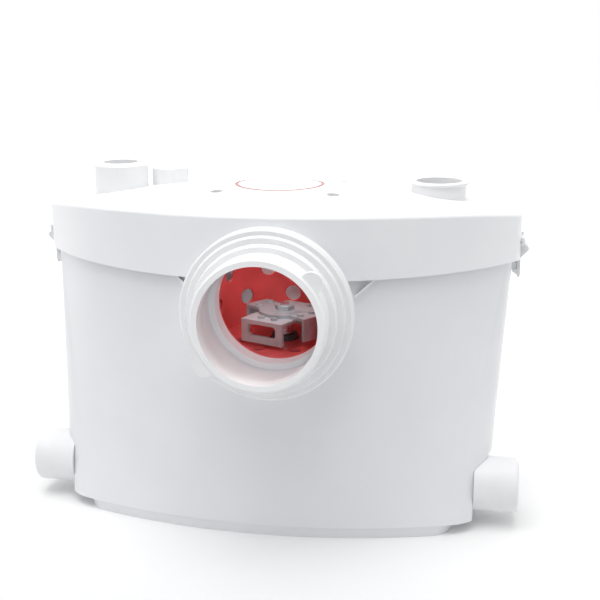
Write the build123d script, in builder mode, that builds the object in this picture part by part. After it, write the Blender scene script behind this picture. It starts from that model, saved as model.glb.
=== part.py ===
from build123d import *
import math
import os

os.makedirs("parts", exist_ok=True)

# Lengths are in millimetres and angles in degrees. The origin is on the floor under the middle of
# the tank, +X runs to the right as the inlet boot is faced, +Y to the wall behind, +Z up.

# Shared clearances and cuts
overrun = 1.0
fit_gap = 0.2
seat_gap = 0.3
running_gap = 0.05

# Stack of the middle, from the pump's underside up to the lid's peak
pump_bottom = 14.0
pump_height = 36.0
motor_height = 92.0
cover_plate = 8.0
basket_height = 108.0
lid_headroom = 39.0

# Lid: a crowned cover with a skirt, D-shaped from above
lid_width = 436.0
lid_depth = 200.0
lid_front_radius = 266.0
lid_front_corner = 25.0
lid_back_corner = 20.0
lid_wall = 2.8
lid_top_wall = 3.2
lid_edge_radius = 3.0
skirt_lap = 13.5
crown_radius_x = 1010.0
crown_radius_y = 480.0
crown_y = 5.0
rib_wall = 2.8
spigot_boss_drop = 22.0
spigot_boss_wall = 1.9
flange_height = 3.0

# Tank: drafted walls, a foot over the middle, lower ends set back round the side inlets
rim_drop = 12.0
rim_inset = 5.9
tank_wall = 3.5
tank_base_width = 393.0
base_front_inset = 11.7
base_back_inset = 8.0
base_front_radius = 528.0
base_front_corner = 44.0
base_back_corner = 20.0
foot_height = 10.0
foot_width = 337.0
foot_inset = 0.5
foot_taper = 9.0
foot_corner = 25.0
tank_floor = 3.5
recess_half_width = 185.0
recess_knee = 38.0
recess_top = 64.0
recess_slope = 12.0
seal_height = 4.0
seal_gap = 0.2

# Front inlet: a neck with collar and throat set in the tank's front, rubber boot over the collar
inlet_x = 17.0
inlet_rise = 60.0
collar_radius = 58.0
collar_wall = 4.0
collar_reach = 20.0
collar_flange_depth = 5.0
collar_root_depth = 24.0
saddle_radius = 63.0
saddle_wall = 3.0
throat_radius = 48.5
throat_wall = 3.0
gusset_root_depth = 22.0
gusset_start = 66.0
gusset_end = 81.0
gusset_low = 9.0
gusset_high = 22.3
gusset_width = 2.2
gusset_inset = 1.5
boot_lap = 3.5
boot_reach = 55.0
boot_mouth_radius = 47.4
boot_mouth_length = 12.0
boot_lip_radius = 53.5
boot_lip_length = 22.0
boot_step_radius = 59.5
boot_step_length = 27.5
boot_ring_radius = 65.5
boot_ring_length = 30.5
boot_rear_radius = 70.5
boot_rear_length = 41.0
boot_sleeve_radius = 63.5
boot_waist_radius = 52.0
boot_round = 1.6
ear_reach = 10.5
ear_half_width = 9.0
ear_thickness = 4.0
ear_angles = (40.0, 218.0)

# Side inlets for 40 mm waste pipe
side_y = -25.0
side_z = 36.0
pipe_bore = 20.3
sleeve_radius = 24.5
sleeve_end = 224.0
sleeve_bore_length = 26.0
sleeve_lip = 3.0
nozzle_radius = 18.0
nozzle_bore = 15.0
nozzle_length = 12.0
inner_step_top = 66.0
inner_step_slope_top = 84.0
flap_radius = 17.5
flap_thickness = 2.0
flap_pin_radius = 1.2
flap_pin_length = 24.0
flap_barrel_radius = 2.6
flap_barrel_length = 14.0
flap_pin_rise = 21.5
flap_lug_wall = 3.0
flap_lug_half_height = 3.5

# Lid clips, hung on pins in the skirt
clip_y = 33.0
clip_width = 24.0
clip_side_gap = 0.5
clip_pin_inset = 0.5
clip_pin_rise = 2.0
clip_pin_radius = 1.2
clip_barrel_radius = 3.0
clip_cheek_wall = 4.0
clip_cheek_reach = 3.3
clip_cheek_half_height = 3.5
clip_inner_inset = 2.7
clip_thickness = 3.0
clip_length = 34.0
clip_nose_drop = 25.0
clip_nose_inset = 0.9
clip_nose_height = 2.5
clip_nose_slope = 3.0
clip_tab_reach = 6.7
clip_tab_drop = 8.0
clip_tab_height = 2.5
clip_tab_slope = 7.0
notch_headroom = 4.0
catch_height = 5.7
catch_root = 3.0

# Badge seat and screw wells on the lid
badge_x = 4.0
badge_y = 8.0
badge_radius = 43.0
badge_seat_depth = 0.9
badge_proud = 0.4
badge_ring_radius = 39.5
badge_ring_width = 1.0
badge_ring_depth = 0.25
screw_pitch_x = 102.0
screw_pitch_y = 84.0
well_radius = 5.5
well_drop = 9.0
pillar_radius = 7.5
screw_head_radius = 4.6
screw_head_height = 3.0
screw_radius = 2.0
screw_clearance = 0.2
cross_slot_width = 1.0
cross_slot_length = 5.0
cross_slot_depth = 1.4

# Discharge connector, check valve and discharge pipe, at the left
discharge_x = -153.0
spigot_y = 33.0
connector_radius = 24.8
connector_proud = 13.5
spigot_drop = 35.0
connector_bore = 16.0
connector_bore_length = 24.0
connector_throat = 13.0
connector_chamfer = 2.4
valve_radius = 21.0
valve_wall = 4.0
valve_height = 36.0
valve_seat_thickness = 3.0
valve_seat_bore = 10.5
valve_socket_radius = 16.0
valve_socket_length = 12.0
valve_flap_radius = 13.5
valve_flap_thickness = 2.0
valve_pin_offset = 14.0
valve_pin_radius = 1.0
valve_pin_length = 22.0
valve_barrel_radius = 1.9
valve_barrel_length = 10.0
pipe_outer = 12.4
pipe_inner = 10.0
pipe_bend = 32.0
outlet_rise = 13.0
pipe_start_x = -56.0

# Top inlet cup, at the right
cup_x = 144.0
cup_radius = 24.4
cup_proud = 1.6
cup_bore_length = 22.0
cup_stop_bore = 18.2
cup_rim_radius = 26.6
cup_rim_height = 2.8
cup_rim_round = 1.2

# Vent cap beside the discharge connector
vent_x = -112.0
vent_y = 55.0
vent_radius = 17.2
vent_proud = 7.0
vent_wall = 2.4
vent_slot_count = 7
vent_slot_width = 1.6
vent_slot_height = 5.0
vent_slot_drop = 6.0
vent_round = 1.2
filter_height = 12.0

# Macerator: perforated basket and cutter on the motor shaft
axis_x = 7.0
axis_y = 10.0
basket_radius = 62.5
basket_wall = 2.5
basket_floor = 3.0
basket_hub_hole = 14.0
basket_hole_radius = 7.5
basket_hole_count = 8
basket_row_pitch = 26.0
basket_row_rise = 30.0
basket_row_count = 3
basket_hole_turn = 3.0
floor_hole_pitch_radius = 42.0
floor_hole_radius = 6.0
floor_hole_count = 8
basket_flange_radius = 65.5
basket_flange_height = 4.0
bay_depth = 20.0
bay_corner = 14.0
basket_ear_height = 12.0
cutter_rise = 24.0
cutter_thickness = 3.0
cutter_reach = 38.0
cutter_width = 44.0
cutter_angle = -113.0
cutter_lug_drop = 18.0
cutter_window_length = 30.0
cutter_window_height = 10.5
cutter_window_drop = 6.0
cutter_window_round = 3.0
cutter_waist = 24.0
bar_angle = -36.0
bar_reach = 39.0
bar_width = 26.0
bar_lug_drop = 18.0
rivet_radius = 3.2
rivet_height = 1.8
rivet_pitch_radius = 28.0
rivet_offset = 7.0
nut_radius = 9.0
nut_height = 4.5
nut_chamfer = 0.5

# Motor
shaft_radius = 5.0
shaft_end_rise = 2.0
shaft_tip = 1.0
shaft_shoulder_radius = 7.5
shaft_shoulder_gap = 1.0
motor_radius = 56.0
motor_wall = 3.0
motor_floor = 6.0
motor_rim_width = 8.0
motor_rim_height = 8.0
cover_radius = 58.0
cover_boss_radius = 12.0
cover_boss_height = 7.0
cover_screw_pitch_radius = 52.0
cover_screw_head = 3.5
cover_screw_head_height = 3.0
cover_screw_radius = 1.6
cover_screw_length = 12.0
cover_screw_count = 4
bearing_radius = 16.0
bearing_height = 9.0
bearing_ring_wall = 4.0
seal_radius = 9.0
stator_rise = 26.0
stator_height = 42.0
stator_bore = 30.0
winding_inner = 33.0
winding_outer = 50.0
winding_height = 9.0
winding_round = 3.0
rotor_gap = 0.6
rotor_relief = 1.0

# Pump under the motor
pump_radius = 50.0
pump_chamber_radius = 42.0
pump_chamber_height = 26.0
pump_outlet_radius = 15.6
pump_outlet_end = -72.0
plate_thickness = 4.0
suction_radius = 14.0
pump_screw_pitch_radius = 46.0
pump_screw_count = 4
pump_screw_length = 13.0
pump_screw_head_height = 2.0
impeller_radius = 36.0
impeller_rise = 7.0
impeller_height = 14.0
impeller_disc = 3.0
impeller_hub = 9.0
impeller_vane_count = 6
impeller_vane_width = 2.4
mount_radius = 8.0
mount_pitch = 60.0

# Control box hung under the lid, with the level switch
box_left = -124.0
box_right = -64.0
box_front = -52.0
box_back = 70.0
box_height = 57.0
box_drop = 35.0
box_wall = 3.0
box_corner = 6.0
box_cover = 3.0
hanger_radius = 6.0
hanger_front_y = -36.0
hanger_back_y = 12.0
bell_x = -95.0
bell_y = -6.0
bell_radius = 11.0
bell_wall = 2.0
bell_bottom = 20.0
bell_flange_radius = 21.0
bell_flange_height = 4.0
diaphragm_radius = 18.0
diaphragm_thickness = 2.0
diaphragm_ring_height = 5.0
plunger_disc_radius = 9.5
plunger_disc_height = 1.7
plunger_stem_radius = 2.5
plunger_stem_height = 6.4
plunger_hole_radius = 10.5
plunger_stroke = 2.5
switch_length = 30.0
switch_width = 16.0
switch_height = 14.0
switch_leg = 3.5
capacitor_radius = 16.0
capacitor_length = 42.0
capacitor_front = 22.0
terminal_front = -46.0
terminal_length = 22.0
terminal_width = 44.0
terminal_height = 16.0
terminal_way_count = 5
terminal_way_radius = 2.2
terminal_way_depth = 6.0

# Cable gland in the back of the lid
gland_x = -95.0
gland_drop = 35.0
gland_radius = 8.0
gland_bore = 4.0
gland_nut_radius = 11.0
gland_nut_length = 5.0
gland_tail = 3.0

# Sizes worked out from those above
motor_bottom = pump_bottom + pump_height
motor_top = motor_bottom + motor_height
basket_bottom = motor_top + cover_plate
basket_top = basket_bottom + basket_height
crown_peak = basket_top + lid_headroom
lid_half = lid_width / 2
lid_front = -lid_depth / 2
lid_back = lid_depth / 2
rim_half = lid_half - rim_inset
rim_top = basket_top - rim_drop
skirt_bottom = rim_top - skirt_lap
seal_top = rim_top + seal_height
base_half = tank_base_width / 2
base_front = lid_front + base_front_inset
base_back = lid_back - base_back_inset
foot_half = foot_width / 2
recess_inner = recess_half_width - tank_wall
inlet_z = basket_bottom + inlet_rise
collar_front = lid_front - collar_reach
collar_flange_y = lid_front + collar_flange_depth
collar_root_y = lid_front + collar_root_depth
boot_mouth_y = lid_front - boot_reach
boot_back = lid_front + boot_lap
bay_y = lid_front + bay_depth
clip_pin_x = lid_half - clip_pin_inset
clip_inner_x = lid_half - clip_inner_inset
clip_nose_x = rim_half - clip_nose_inset
clip_pin_z = rim_top + clip_pin_rise
clip_nose_top = clip_pin_z - clip_nose_drop
clip_tab_z = clip_pin_z - clip_tab_drop
spigot_boss_bottom = crown_peak - spigot_boss_drop
spigot_bottom = crown_peak - spigot_drop
well_floor = crown_peak - well_drop
connector_top = crown_peak + connector_proud
cup_top = crown_peak + cup_proud
vent_top = crown_peak + vent_proud
valve_bottom = spigot_bottom - valve_height
pipe_z = pump_bottom + outlet_rise
box_top = crown_peak - box_drop
box_bottom = box_top - box_height
gland_z = crown_peak - gland_drop
screw_places = [
    (axis_x + side * screw_pitch_x / 2, axis_y + end * screw_pitch_y / 2)
    for side in (-1, 1)
    for end in (-1, 1)
]
pump_chamber_top = pump_bottom + pump_chamber_height
impeller_bottom = pump_bottom + impeller_rise
impeller_top = impeller_bottom + impeller_height
stator_bottom = motor_bottom + stator_rise
stator_top = stator_bottom + stator_height
stator_radius = motor_radius - motor_wall
cutter_bottom = basket_bottom + cutter_rise
cutter_top = cutter_bottom + cutter_thickness
bar_top = cutter_top + cutter_thickness
shaft_bottom = pump_bottom + shaft_end_rise
shaft_top = bar_top + nut_height + shaft_tip
shaft_shoulder_bottom = basket_bottom + cover_boss_height + shaft_shoulder_gap


def write(builder, name):
    """Label a finished piece and write its file."""
    builder.part.label = name
    export_step(builder.part, f"parts/{name}.step")


def d_plan(half_width, front, back, radius, front_corner, back_corner, z):
    """The D outline: one front arc, straight ends and a straight back, with rounded corners."""
    end_y = front + radius - math.sqrt(radius**2 - half_width**2)
    with BuildSketch(Plane.XY.offset(z)) as plan:
        with BuildLine():
            ThreePointArc((-half_width, end_y), (0, front), (half_width, end_y))
            Polyline(
                (half_width, end_y),
                (half_width, back),
                (-half_width, back),
                (-half_width, end_y),
            )
        make_face()
        fillet(plan.vertices().group_by(Axis.Y)[-1], back_corner)
        fillet(plan.vertices().group_by(Axis.Y)[0], front_corner)
    return plan.sketch


def lid_plan(inset, z):
    """The lid's outline moved inward by an inset."""
    return d_plan(
        lid_half - inset,
        lid_front + inset,
        lid_back - inset,
        lid_front_radius - inset,
        lid_front_corner - inset,
        lid_back_corner - inset,
        z,
    )


def crown(lowered, mode=Mode.INTERSECT):
    """The barrel whose top is the lid's crown, lowered evenly by a wall or a seat depth."""
    peak = crown_peak - lowered
    radius_x = crown_radius_x - lowered
    radius_y = crown_radius_y - lowered
    drop = radius_x - math.sqrt(radius_x**2 - lid_half**2)
    barrel_axis_z = peak - radius_y
    with BuildSketch(Plane.XZ.offset(-crown_y)) as section:
        with BuildLine():
            ThreePointArc((-lid_half, peak - drop), (0, peak), (lid_half, peak - drop))
            Polyline(
                (lid_half, peak - drop),
                (lid_half, barrel_axis_z),
                (-lid_half, barrel_axis_z),
                (-lid_half, peak - drop),
            )
        make_face()
    revolve(section.sketch, axis=Axis((0, crown_y, barrel_axis_z), (1, 0, 0)), mode=mode)


def post(x, y, z, radius, height, mode=Mode.ADD):
    """A round post or hole that stands on height z."""
    with BuildSketch(Plane((x, y, z))) as face:
        Circle(radius)
    extrude(face.sketch, amount=height, mode=mode)


def ring(x, y, z, outer, inner, height):
    """A round tube that stands on height z."""
    with BuildSketch(Plane((x, y, z))) as face:
        Circle(outer)
        Circle(inner, mode=Mode.SUBTRACT)
    extrude(face.sketch, amount=height)


def rod_along_y(x, y, z, radius, length, mode=Mode.ADD):
    """A round rod or hole along Y from y towards the back."""
    with BuildSketch(Plane((x, y, z), x_dir=(1, 0, 0), z_dir=(0, 1, 0))) as face:
        Circle(radius)
    extrude(face.sketch, amount=length, mode=mode)


def rod_along_x(x, y, z, radius, length, side, mode=Mode.ADD):
    """A round rod or hole along X from x outward to one side."""
    with BuildSketch(Plane((x, y, z), x_dir=(0, 1, 0), z_dir=(side, 0, 0))) as face:
        Circle(radius)
    extrude(face.sketch, amount=length, mode=mode)


def block(x_low, x_high, y_low, y_high, z_low, z_high, mode=Mode.ADD):
    """A block between two corners."""
    with BuildSketch(Plane(((x_low + x_high) / 2, (y_low + y_high) / 2, z_low))) as face:
        Rectangle(abs(x_high - x_low), abs(y_high - y_low))
    extrude(face.sketch, amount=z_high - z_low, mode=mode)


def recess_prism(inset, knee, top, mode=Mode.SUBTRACT):
    """The space beside the set-back lower ends, at both sides."""
    for side in (-1, 1):
        with BuildSketch(Plane.XZ.offset(-lid_depth)) as face:
            with BuildLine():
                Polyline(
                    (side * (recess_half_width - inset), -overrun),
                    (side * (recess_half_width - inset), knee),
                    (side * (recess_half_width - inset + recess_slope), top),
                    (side * lid_width, top),
                    (side * lid_width, -overrun),
                    close=True,
                )
            make_face()
        extrude(face.sketch, amount=2 * lid_depth, mode=mode)


def tank_walls(inset, base_z):
    """The drafted body between its base and its rim."""
    low = d_plan(
        base_half - inset,
        base_front + inset,
        base_back - inset,
        base_front_radius - inset,
        base_front_corner - inset,
        base_back_corner - inset,
        base_z,
    )
    loft([low, lid_plan(rim_inset + inset, rim_top)], ruled=True)


def foot_plan(inset, z):
    """The foot's outline at the tank's base, moved inward by an inset."""
    return d_plan(
        foot_half - inset,
        base_front + foot_inset + inset,
        base_back - foot_inset - inset,
        base_front_radius - inset,
        foot_corner - inset,
        foot_corner - inset,
        z,
    )


def basket_plan(radius, z):
    """The basket's outline for a radius: a circle with a bay as wide towards the throat."""
    bay_front = bay_y + basket_radius - radius
    with BuildSketch(Plane.XY.offset(z)) as plan:
        with Locations((axis_x, (bay_front + axis_y) / 2)):
            Rectangle(2 * radius, axis_y - bay_front)
        fillet(plan.vertices().group_by(Axis.Y)[0], bay_corner + radius - basket_radius)
        with Locations((axis_x, axis_y)):
            Circle(radius)
    return plan.sketch


# Tank
with BuildPart() as tank_hollow:
    tank_walls(tank_wall, foot_height + tank_floor)
    recess_prism(tank_wall, inner_step_top, inner_step_slope_top)
    extrude(foot_plan(tank_wall, tank_floor), amount=foot_height + overrun)

# Gussets that rise from beside the boot to the skirt
with BuildPart() as gussets:
    for side in (-1, 1):
        with BuildSketch(Plane.XZ.offset(-lid_front - gusset_root_depth)):
            with BuildLine():
                Polyline(
                    (inlet_x + side * gusset_start, inlet_z + gusset_low),
                    (inlet_x + side * gusset_end, inlet_z + gusset_high),
                    (inlet_x + side * (gusset_end + gusset_width), inlet_z + gusset_high),
                    (inlet_x + side * (gusset_start + gusset_width), inlet_z + gusset_low),
                    close=True,
                )
            make_face()
        extrude(amount=lid_depth)
    extrude(lid_plan(gusset_inset, inlet_z), amount=gusset_high, mode=Mode.INTERSECT)

with BuildPart() as tank:
    tank_walls(0, foot_height)
    recess_prism(0, recess_knee, recess_top)
    extrude(foot_plan(0, foot_height), amount=-foot_height, taper=foot_taper)
    add(gussets.part)
    add(tank_hollow.part, mode=Mode.SUBTRACT)
    # Open front that takes the neck
    rod_along_y(
        inlet_x,
        collar_front,
        inlet_z,
        collar_radius + fit_gap,
        collar_root_y - collar_front,
        mode=Mode.SUBTRACT,
    )
    for side in (-1, 1):
        # Pocket round the sleeve, nozzle and its bore
        rod_along_x(
            side * recess_half_width,
            side_y,
            side_z,
            sleeve_radius + seat_gap,
            lid_width,
            side,
            mode=Mode.SUBTRACT,
        )
        rod_along_x(side * (recess_half_width - overrun), side_y, side_z, nozzle_radius, nozzle_length, side)
        rod_along_x(
            side * (recess_inner - overrun),
            side_y,
            side_z,
            nozzle_bore,
            lid_width,
            side,
            mode=Mode.SUBTRACT,
        )
        # Lugs that carry the flap pin
        for end in (-1, 1):
            lug_near = side_y + end * (flap_barrel_length / 2 + seat_gap)
            lug_far = lug_near + end * flap_lug_wall
            block(
                side * (recess_inner + overrun),
                side * (recess_inner - seat_gap - 2 * flap_barrel_radius - flap_pin_radius),
                lug_near,
                lug_far,
                side_z + flap_pin_rise - flap_lug_half_height,
                side_z + flap_pin_rise + flap_lug_half_height,
            )
        rod_along_y(
            side * (recess_inner - seat_gap - flap_barrel_radius),
            side_y - flap_pin_length / 2,
            side_z + flap_pin_rise,
            flap_pin_radius + running_gap,
            flap_pin_length,
            mode=Mode.SUBTRACT,
        )
        # Catch under which the clip's nose hooks
        block(
            side * (clip_nose_x - catch_root),
            side * (clip_inner_x - seat_gap),
            clip_y - clip_width / 2,
            clip_y + clip_width / 2,
            clip_nose_top + seat_gap,
            clip_nose_top + seat_gap + catch_height,
        )
write(tank, "tank")

# Neck: its saddle lies on the wall inside, its throat leads from the collar into the basket
with BuildPart() as saddle_inside:
    tank_walls(tank_wall + saddle_wall, foot_height + tank_floor)

with BuildPart() as inlet_neck:
    add(tank_hollow.part)
    rod_along_y(inlet_x, lid_front, inlet_z, saddle_radius, lid_back, mode=Mode.INTERSECT)
    add(saddle_inside.part, mode=Mode.SUBTRACT)
    rod_along_y(inlet_x, collar_front, inlet_z, collar_radius, collar_root_y - collar_front)
    rod_along_y(
        inlet_x,
        collar_root_y - overrun,
        inlet_z,
        throat_radius + throat_wall,
        axis_y - collar_root_y,
    )
    for z, radius in (
        (basket_bottom, basket_radius + seat_gap),
        (basket_top - basket_flange_height - seat_gap, basket_flange_radius + seat_gap),
    ):
        extrude(basket_plan(radius, z), amount=crown_peak - z, mode=Mode.SUBTRACT)
    ear_bottom = basket_top - basket_ear_height - seat_gap
    for x, y in screw_places:
        post(x, y, ear_bottom, pillar_radius + seat_gap, crown_peak - ear_bottom, mode=Mode.SUBTRACT)
    rod_along_y(
        inlet_x,
        collar_front - overrun,
        inlet_z,
        collar_radius - collar_wall,
        collar_flange_y - collar_front + overrun,
        mode=Mode.SUBTRACT,
    )
    rod_along_y(
        inlet_x,
        collar_flange_y - overrun,
        inlet_z,
        throat_radius,
        axis_y - collar_flange_y,
        mode=Mode.SUBTRACT,
    )
write(inlet_neck, "inlet_neck")

# Seal on the tank's rim
with BuildPart() as lid_seal:
    extrude(lid_plan(rim_inset + seal_gap, rim_top), amount=seal_height)
    extrude(lid_plan(rim_inset + tank_wall, rim_top), amount=seal_height, mode=Mode.SUBTRACT)
    rod_along_y(inlet_x, -lid_depth, inlet_z, collar_radius + seat_gap, lid_depth, mode=Mode.SUBTRACT)
write(lid_seal, "lid_seal")

# Lid
spigots = (
    (discharge_x, spigot_y, connector_radius),
    (cup_x, spigot_y, cup_radius),
    (vent_x, vent_y, vent_radius),
)

with BuildPart() as lid_inside:
    # Rib that presses on the seal
    extrude(lid_plan(rim_inset + seal_gap, seal_top), amount=crown_peak - seal_top)
    extrude(
        lid_plan(rim_inset + seal_gap + rib_wall, seal_top),
        amount=crown_peak - seal_top,
        mode=Mode.SUBTRACT,
    )
    for x, y, radius in spigots:
        post(x, y, spigot_boss_bottom, radius + fit_gap + spigot_boss_wall, crown_peak - spigot_boss_bottom)
    for x, y in screw_places:
        post(x, y, basket_top, pillar_radius, crown_peak - basket_top)
    for y in (hanger_front_y, hanger_back_y):
        post(bell_x, y, box_top + box_cover, hanger_radius, crown_peak - box_top)
    crown(lid_top_wall / 2)

with BuildPart() as lid_hollow:
    extrude(lid_plan(lid_wall, skirt_bottom - overrun), amount=crown_peak - skirt_bottom)
    crown(lid_top_wall)

with BuildPart() as badge_seat:
    post(badge_x, badge_y, spigot_boss_bottom, badge_radius + fit_gap, crown_peak)
    crown(badge_seat_depth, mode=Mode.SUBTRACT)

with BuildPart() as lid:
    extrude(lid_plan(0, skirt_bottom), amount=crown_peak - skirt_bottom)
    crown(0)
    fillet(lid.faces().sort_by(Axis.Z)[-1].edges(), lid_edge_radius)
    add(lid_hollow.part, mode=Mode.SUBTRACT)
    add(lid_inside.part)
    add(badge_seat.part, mode=Mode.SUBTRACT)
    for x, y, radius in spigots:
        post(x, y, skirt_bottom, radius + fit_gap, crown_peak, mode=Mode.SUBTRACT)
    for x, y in screw_places:
        post(x, y, well_floor, well_radius, crown_peak, mode=Mode.SUBTRACT)
        post(x, y, skirt_bottom, screw_radius + screw_clearance, crown_peak, mode=Mode.SUBTRACT)
    rod_along_y(gland_x, lid_back / 2, gland_z, gland_radius + fit_gap, lid_back, mode=Mode.SUBTRACT)
    # Arch over the collar and the boot
    for back_y, radius in ((boot_back + seat_gap, boot_sleeve_radius), (collar_root_y, collar_radius)):
        rod_along_y(
            inlet_x,
            -lid_depth,
            inlet_z,
            radius + seat_gap,
            back_y + seat_gap + lid_depth,
            mode=Mode.SUBTRACT,
        )
    for side in (-1, 1):
        # Notch for the clip, with a cheek at each side that holds the pin
        notch_half = clip_width / 2 + clip_side_gap
        block(
            side * (rim_half + seal_gap),
            side * lid_width,
            clip_y - notch_half,
            clip_y + notch_half,
            skirt_bottom - overrun,
            clip_pin_z + notch_headroom,
            mode=Mode.SUBTRACT,
        )
        for end in (-1, 1):
            block(
                side * (lid_half - lid_wall),
                side * (clip_pin_x + clip_cheek_reach),
                clip_y + end * notch_half,
                clip_y + end * (notch_half + clip_cheek_wall),
                clip_pin_z - clip_cheek_half_height,
                clip_pin_z + clip_cheek_half_height,
            )
        rod_along_y(
            side * clip_pin_x,
            clip_y - notch_half - clip_cheek_wall - overrun,
            clip_pin_z,
            clip_pin_radius + running_gap,
            2 * (notch_half + clip_cheek_wall + overrun),
            mode=Mode.SUBTRACT,
        )
write(lid, "lid")

# Badge disc, bare but for one ring
with BuildPart() as badge_hollow:
    post(badge_x, badge_y, spigot_boss_bottom, badge_radius + overrun, crown_peak)
    crown(badge_seat_depth, mode=Mode.INTERSECT)

with BuildPart() as badge_groove:
    ring(
        badge_x,
        badge_y,
        spigot_boss_bottom,
        badge_ring_radius,
        badge_ring_radius - badge_ring_width,
        crown_peak,
    )
    crown(badge_ring_depth - badge_proud, mode=Mode.SUBTRACT)

with BuildPart() as badge_disc:
    post(badge_x, badge_y, spigot_boss_bottom, badge_radius, crown_peak)
    crown(-badge_proud)
    add(badge_hollow.part, mode=Mode.SUBTRACT)
    add(badge_groove.part, mode=Mode.SUBTRACT)
write(badge_disc, "badge_disc")

# Lid screws, down into the basket's ears
with BuildPart() as lid_screws:
    for x, y in screw_places:
        post(x, y, well_floor, screw_head_radius, screw_head_height)
        post(x, y, basket_top - basket_ear_height, screw_radius, well_floor - basket_top + basket_ear_height)
        for length, width in (
            (cross_slot_length, cross_slot_width),
            (cross_slot_width, cross_slot_length),
        ):
            with BuildSketch(Plane((x, y, well_floor + screw_head_height))):
                Rectangle(length, width)
            extrude(amount=-cross_slot_depth, mode=Mode.SUBTRACT)
write(lid_screws, "lid_screws")


def clip(side):
    """One lid clip: a blade on a pin, a finger tab outside, a nose inside."""
    outer_x = clip_inner_x + clip_thickness
    with BuildPart() as piece:
        with BuildSketch(Plane.XZ.offset(-clip_y - clip_width / 2)):
            with BuildLine():
                Polyline(
                    (side * clip_inner_x, clip_pin_z),
                    (side * clip_inner_x, clip_nose_top),
                    (side * clip_nose_x, clip_nose_top),
                    (side * clip_nose_x, clip_nose_top - clip_nose_height),
                    (side * clip_inner_x, clip_nose_top - clip_nose_height - clip_nose_slope),
                    (side * (outer_x - clip_thickness / 2), clip_pin_z - clip_length),
                    (side * outer_x, clip_pin_z - clip_length + clip_thickness),
                    (side * outer_x, clip_tab_z - clip_tab_slope),
                    (side * (outer_x + clip_tab_reach), clip_tab_z),
                    (side * (outer_x + clip_tab_reach), clip_tab_z + clip_tab_height),
                    (side * outer_x, clip_pin_z),
                    close=True,
                )
            make_face()
        extrude(amount=clip_width)
        rod_along_y(side * clip_pin_x, clip_y - clip_width / 2, clip_pin_z, clip_barrel_radius, clip_width)
        rod_along_y(
            side * clip_pin_x,
            clip_y - clip_width / 2,
            clip_pin_z,
            clip_pin_radius + running_gap,
            clip_width,
            mode=Mode.SUBTRACT,
        )
    return piece


def clip_pin(side):
    """The pin on which a clip turns."""
    half = clip_width / 2 + clip_side_gap + clip_cheek_wall
    with BuildPart() as piece:
        rod_along_y(side * clip_pin_x, clip_y - half, clip_pin_z, clip_pin_radius, 2 * half)
    return piece


# Boot over the collar: half section, radius against distance along Y
boot_inner = collar_radius + fit_gap
mouth_back = boot_mouth_y + boot_mouth_length
boot_step_y = boot_mouth_y + boot_step_length
boot_ring_y = boot_mouth_y + boot_ring_length
boot_rear_back = boot_mouth_y + boot_rear_length
with BuildPart() as inlet_boot:
    with BuildSketch(Plane((inlet_x, 0, inlet_z), x_dir=(1, 0, 0), z_dir=(0, 0, 1))):
        with BuildLine():
            Polyline(
                (boot_inner, boot_back),
                (boot_sleeve_radius, boot_back),
                (boot_sleeve_radius, boot_rear_back),
                (boot_rear_radius, boot_rear_back),
                (boot_rear_radius, boot_ring_y + boot_round),
                (boot_rear_radius - boot_round, boot_ring_y),
                (boot_ring_radius, boot_ring_y),
                (boot_ring_radius - boot_round, boot_step_y),
                (boot_step_radius, boot_step_y),
                (boot_step_radius - boot_round, boot_mouth_y + boot_lip_length),
                (boot_lip_radius, boot_mouth_y + boot_lip_length),
                (boot_lip_radius, boot_mouth_y + boot_round),
                (boot_lip_radius - boot_round, boot_mouth_y),
                (boot_mouth_radius, boot_mouth_y),
                (boot_mouth_radius, mouth_back),
                (boot_waist_radius, mouth_back + boot_waist_radius - boot_mouth_radius),
                (boot_waist_radius, collar_front - seat_gap),
                (boot_inner, collar_front - seat_gap),
                close=True,
            )
        make_face()
    revolve(axis=Axis((inlet_x, 0, inlet_z), (0, 1, 0)))
    for angle in ear_angles:
        turn = math.radians(angle)
        with BuildSketch(
            Plane(
                (inlet_x, boot_mouth_y + boot_round, inlet_z),
                x_dir=(math.cos(turn), 0, math.sin(turn)),
                z_dir=(0, 1, 0),
            )
        ):
            with Locations((boot_lip_radius + ear_reach - ear_half_width, 0)):
                Circle(ear_half_width)
            with Locations((boot_lip_radius - ear_half_width, 0)):
                Rectangle(2 * ear_half_width, 2 * ear_half_width)
            Circle(boot_mouth_radius + boot_round, mode=Mode.SUBTRACT)
        extrude(amount=ear_thickness)
write(inlet_boot, "inlet_boot")


def side_sleeve(side):
    """Sleeve over the side nozzle, with a rounded outer lip."""
    start = recess_half_width + seat_gap
    inner_end = sleeve_end - sleeve_bore_length
    plane = Plane((0, side_y, side_z), x_dir=(side, 0, 0), z_dir=(0, side, 0))
    with BuildPart() as piece:
        with BuildSketch(plane):
            with BuildLine():
                Polyline(
                    (start, nozzle_radius + fit_gap),
                    (start, sleeve_radius),
                    (sleeve_end - sleeve_lip, sleeve_radius),
                )
                RadiusArc(
                    (sleeve_end - sleeve_lip, sleeve_radius),
                    (sleeve_end, sleeve_radius - sleeve_lip),
                    sleeve_lip,
                )
                Polyline(
                    (sleeve_end, sleeve_radius - sleeve_lip),
                    (sleeve_end, pipe_bore),
                    (inner_end, pipe_bore),
                    (inner_end, nozzle_radius + fit_gap),
                    (start, nozzle_radius + fit_gap),
                )
            make_face()
        revolve(axis=Axis((0, side_y, side_z), (1, 0, 0)))
    return piece


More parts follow.
